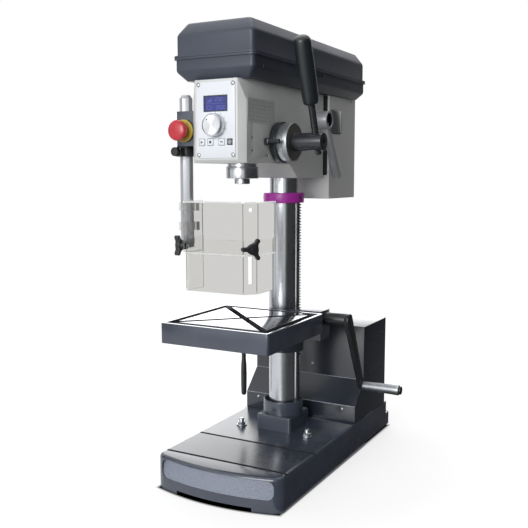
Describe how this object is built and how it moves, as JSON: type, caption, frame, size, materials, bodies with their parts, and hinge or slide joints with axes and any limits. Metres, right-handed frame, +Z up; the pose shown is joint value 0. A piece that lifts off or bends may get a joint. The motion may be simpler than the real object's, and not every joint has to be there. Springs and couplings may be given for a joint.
{
  "type": "benchtop drill press",
  "caption": "Benchtop drill press with a swinging rack-lift table, sprung quill feed, belt drive under a hinged hood, sliding clear guard and control panel.",
  "frame": {"origin": "on the floor under the column axis, on the underside of the base", "axes": "+Z up along the column, -Y to the front, +X to the crank side"},
  "size_m": [0.4026, 0.641, 0.9385],
  "materials": {
    "anthracite": "satin paint",
    "hood_shell": "fine texture",
    "head_grey": "satin paint",
    "bright_steel": "ground",
    "plain_steel": "machined",
    "satin_aluminium": "satin",
    "purple_coat": "gloss paint",
    "black_coat": "gloss black",
    "black_plastic": "moulded",
    "grip_black": "moulded",
    "stop_red": "gloss",
    "collar_yellow": "gloss",
    "display_blue": "clear cover",
    "panel_white": "satin film",
    "key_dark": "satin film",
    "guard_clear": "clear",
    "motor_iron": "painted",
    "belt_rubber": "ribbed"
  },
  "bodies": {
    "frame": {"base": "anthracite", "base_bolts": "plain_steel", "column_foot": "anthracite", "column": "bright_steel", "rack_ring": "purple_coat", "head_casting": "head_grey", "quill_guide": "bright_steel", "panel_plate": "panel_white", "display": "display_blue", "case_screws": "plain_steel", "hood_tray": "hood_shell", "sleeve_bearings": "plain_steel", "spring_housing": "anthracite", "return_spring": "plain_steel", "cabinet": "anthracite", "cabinet_front": "anthracite", "drive_unit": "black_plastic", "cable_glands": "black_plastic", "stop_block": "anthracite", "stop_collar": "collar_yellow", "slide_rods": "bright_steel", "info_plate": "satin_aluminium", "belt": "belt_rubber"},
    "lid": {"hood_lid": "hood_shell"},
    "feed": {"feed_shaft": "plain_steel", "scale_drum": "satin_aluminium", "lever_hub": "black_coat", "lever_rod": "black_coat", "lever_grip": "grip_black"},
    "quill": {"quill": "bright_steel", "quill_bearings": "plain_steel"},
    "spindle": {"spindle": "bright_steel"},
    "spindle_drive": {"spindle_pulley": "satin_aluminium"},
    "carriage": {"motor_box": "head_grey", "motor": "motor_iron"},
    "motor_drive": {"motor_pulley": "satin_aluminium"},
    "tension": {"tension_lever": "satin_aluminium"},
    "rack": {"rack": "bright_steel"},
    "bracket": {"table_bracket": "anthracite", "table": "anthracite"},
    "lock": {"lock_lever": "black_coat"},
    "crank": {"worm_shaft": "plain_steel", "crank_arm": "black_coat"},
    "handle": {"crank_handle": "satin_aluminium"},
    "lift": {"lift_gear": "plain_steel"},
    "depth": {"depth_ring": "black_coat"},
    "depth_screw": {"stop_screw": "black_coat"},
    "clamp": {"rod_clamp": "black_coat"},
    "clamp_screw": {"clamp_knob": "black_plastic"},
    "guard": {"guard_rod": "bright_steel", "guard_upper": "guard_clear"},
    "guard_slide": {"guard_lower": "guard_clear"},
    "star_right": {"star_knob_right": "black_plastic"},
    "star_left": {"star_knob_left": "black_plastic"},
    "stop": {"stop_button": "stop_red"},
    "knob": {"control_knob": "satin_aluminium"},
    "key_a": {"key_1": "panel_white"},
    "key_b": {"key_2": "panel_white"},
    "key_c": {"key_3": "panel_white"},
    "key_d": {"key_4": "key_dark"}
  },
  "joints": [
    {"name": "lid_open", "type": "hinge", "parent": "frame", "child": "lid", "pos_m": [-0.097, 0, 0.8725], "axis": [0, -1, 0], "range_deg": [0, 100]},
    {"name": "quill_feed", "type": "slide", "parent": "frame", "child": "quill", "axis": [0, 0, -1], "range_m": [0, 0.065]},
    {"name": "feed_turn", "type": "hinge", "parent": "frame", "child": "feed", "pos_m": [0, -0.1438, 0.7135], "axis": [1, 0, 0], "range_deg": [0, 206.95], "stiffness_Nm_per_rad": 0.5, "springref_deg": -148.97},
    {"name": "spindle_turn", "type": "hinge", "parent": "quill", "child": "spindle", "pos_m": [0, -0.1858, 0.64], "axis": [0, 0, 1], "continuous": true},
    {"name": "pulley_turn", "type": "hinge", "parent": "frame", "child": "spindle_drive", "pos_m": [0, -0.1858, 0.86], "axis": [0, 0, 1], "continuous": true},
    {"name": "carriage_slide", "type": "slide", "parent": "frame", "child": "carriage", "axis": [0, -1, 0], "range_m": [0, 0.008]},
    {"name": "motor_turn", "type": "hinge", "parent": "carriage", "child": "motor_drive", "pos_m": [0, 0.166, 0.86], "axis": [0, 0, 1], "continuous": true},
    {"name": "tension_turn", "type": "hinge", "parent": "frame", "child": "tension", "pos_m": [0.08, 0.035, 0.769], "axis": [1, 0, 0], "range_deg": [0, 75.5]},
    {"name": "table_swing", "type": "hinge", "parent": "frame", "child": "rack", "pos_m": [0, 0, 0.3], "axis": [0, 0, 1], "range_deg": [-45, 0]},
    {"name": "table_lift", "type": "slide", "parent": "rack", "child": "bracket", "axis": [0, 0, 1], "range_m": [-0.0445, 0.0571]},
    {"name": "crank_turn", "type": "hinge", "parent": "bracket", "child": "crank", "pos_m": [0.1, 0, 0.332], "axis": [1, 0, 0], "range_deg": [-2520, 3240]},
    {"name": "handle_turn", "type": "hinge", "parent": "crank", "child": "handle", "pos_m": [0.2, 0.08022, 0.16752], "axis": [1, 0, 0], "continuous": true},
    {"name": "lift_turn", "type": "hinge", "parent": "bracket", "child": "lift", "pos_m": [0.0529, 0, 0.309], "axis": [0, 1, 0], "range_deg": [-232, 181]},
    {"name": "lock_turn", "type": "hinge", "parent": "bracket", "child": "lock", "pos_m": [-0.09, -0.026, 0.285], "axis": [0, 1, 0], "range_deg": [0, 75]},
    {"name": "depth_set", "type": "hinge", "parent": "frame", "child": "depth", "pos_m": [0.065, -0.1438, 0.7135], "axis": [1, 0, 0], "range_deg": [0, 250]},
    {"name": "depth_lock", "type": "hinge", "parent": "depth", "child": "depth_screw", "pos_m": [0.07, -0.1978, 0.7135], "axis": [1, 0, 0], "continuous": true},
    {"name": "guard_swing", "type": "hinge", "parent": "frame", "child": "clamp", "pos_m": [-0.103, -0.233, 0.7], "axis": [0, 0, 1], "range_deg": [-110, 0]},
    {"name": "clamp_turn", "type": "hinge", "parent": "clamp", "child": "clamp_screw", "pos_m": [-0.103, -0.26, 0.6941], "axis": [0, 1, 0], "continuous": true},
    {"name": "guard_lift", "type": "slide", "parent": "clamp", "child": "guard", "axis": [0, 0, 1], "range_m": [0, 0.05]},
    {"name": "guard_extend", "type": "slide", "parent": "guard", "child": "guard_slide", "axis": [0, 0, 1], "range_m": [0, 0.065]},
    {"name": "star_right_turn", "type": "hinge", "parent": "guard", "child": "star_right", "pos_m": [0.06878, -0.27248, 0.508], "axis": [0.7071, -0.7071, 0], "continuous": true},
    {"name": "star_left_turn", "type": "hinge", "parent": "guard", "child": "star_left", "pos_m": [-0.0798, -0.27048, 0.508], "axis": [-1, 0, 0], "continuous": true},
    {"name": "stop_press", "type": "slide", "parent": "frame", "child": "stop", "axis": [0, 1, 0], "range_m": [0, 0.005], "stiffness_N_per_m": 900},
    {"name": "knob_turn", "type": "hinge", "parent": "frame", "child": "knob", "pos_m": [0, -0.29, 0.742], "axis": [0, 1, 0], "continuous": true},
    {"name": "key_a_press", "type": "slide", "parent": "frame", "child": "key_a", "axis": [0, 1, 0], "range_m": [0, 0.0008], "stiffness_N_per_m": 1200},
    {"name": "key_b_press", "type": "slide", "parent": "frame", "child": "key_b", "axis": [0, 1, 0], "range_m": [0, 0.0008], "stiffness_N_per_m": 1200},
    {"name": "key_c_press", "type": "slide", "parent": "frame", "child": "key_c", "axis": [0, 1, 0], "range_m": [0, 0.0008], "stiffness_N_per_m": 1200},
    {"name": "key_d_press", "type": "slide", "parent": "frame", "child": "key_d", "axis": [0, 1, 0], "range_m": [0, 0.0008], "stiffness_N_per_m": 1200}
  ],
  "couplings": [
    {"joint": "feed_turn", "follows": "quill_feed", "rad_per_m": 55.556},
    {"joint": "spindle_turn", "follows": "pulley_turn", "ratio": 1},
    {"joint": "motor_turn", "follows": "pulley_turn", "ratio": 1.6667},
    {"joint": "tension_turn", "follows": "carriage_slide", "rad_per_m": 163.62},
    {"joint": "table_lift", "follows": "crank_turn", "m_per_rad": 0.001},
    {"joint": "lift_turn", "follows": "crank_turn", "ratio": -0.071429}
  ]
}
